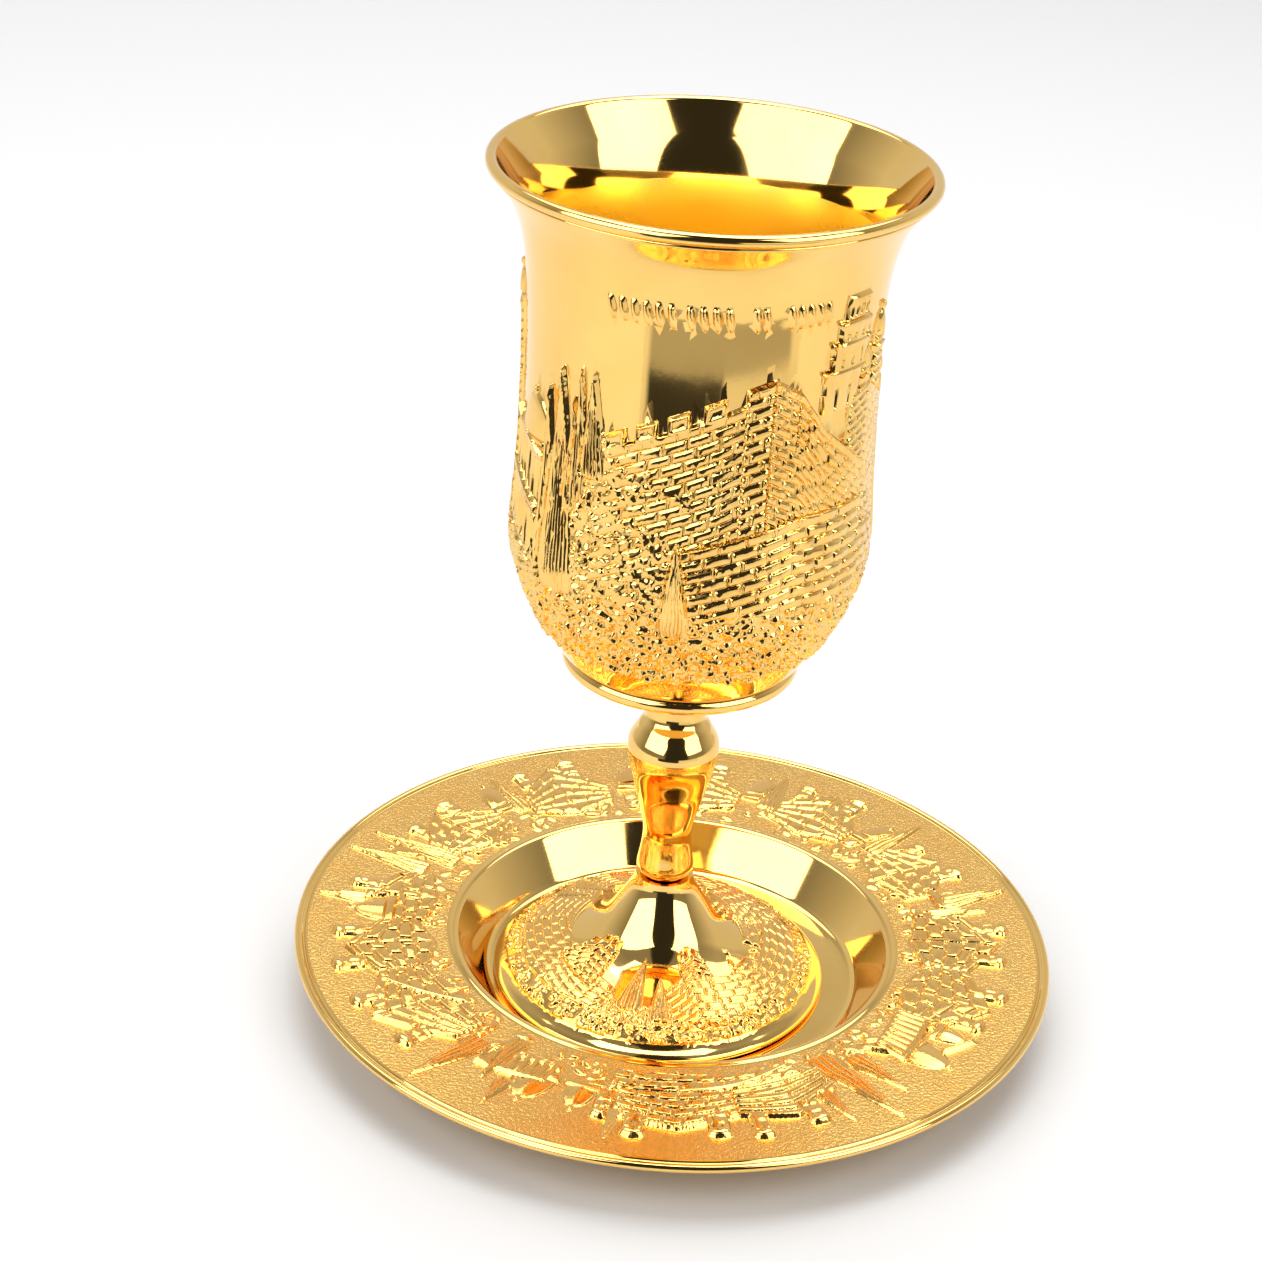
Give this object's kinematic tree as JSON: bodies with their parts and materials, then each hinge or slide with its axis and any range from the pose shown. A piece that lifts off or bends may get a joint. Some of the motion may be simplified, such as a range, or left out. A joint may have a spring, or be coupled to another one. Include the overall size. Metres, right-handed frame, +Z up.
{
  "type": "kiddush cup with saucer",
  "caption": "Footed metal goblet with a flared lip, a bulbed stem and a walled hill city in relief, standing in the well of a round relief-rimmed saucer.",
  "frame": {"origin": "middle of the saucer's flat underside, on the table", "axes": "+Z up, out of the cup's mouth; -Y towards the front as pictured; +X to the viewer's right"},
  "size_m": [0.14, 0.14, 0.159],
  "materials": {
    "gilt_bowl": "polished gold plate over cast metal, relief left sparkling",
    "gilt_stem": "mirror polished gold plate",
    "gilt_foot": "polished gold plate over cast metal, relief left sparkling",
    "gilt_saucer": "polished gold plate over cast metal, relief left sparkling"
  },
  "bodies": {
    "root": {"bowl": "gilt_bowl", "stem": "gilt_stem", "foot": "gilt_foot", "saucer": "gilt_saucer"}
  },
  "joints": []
}
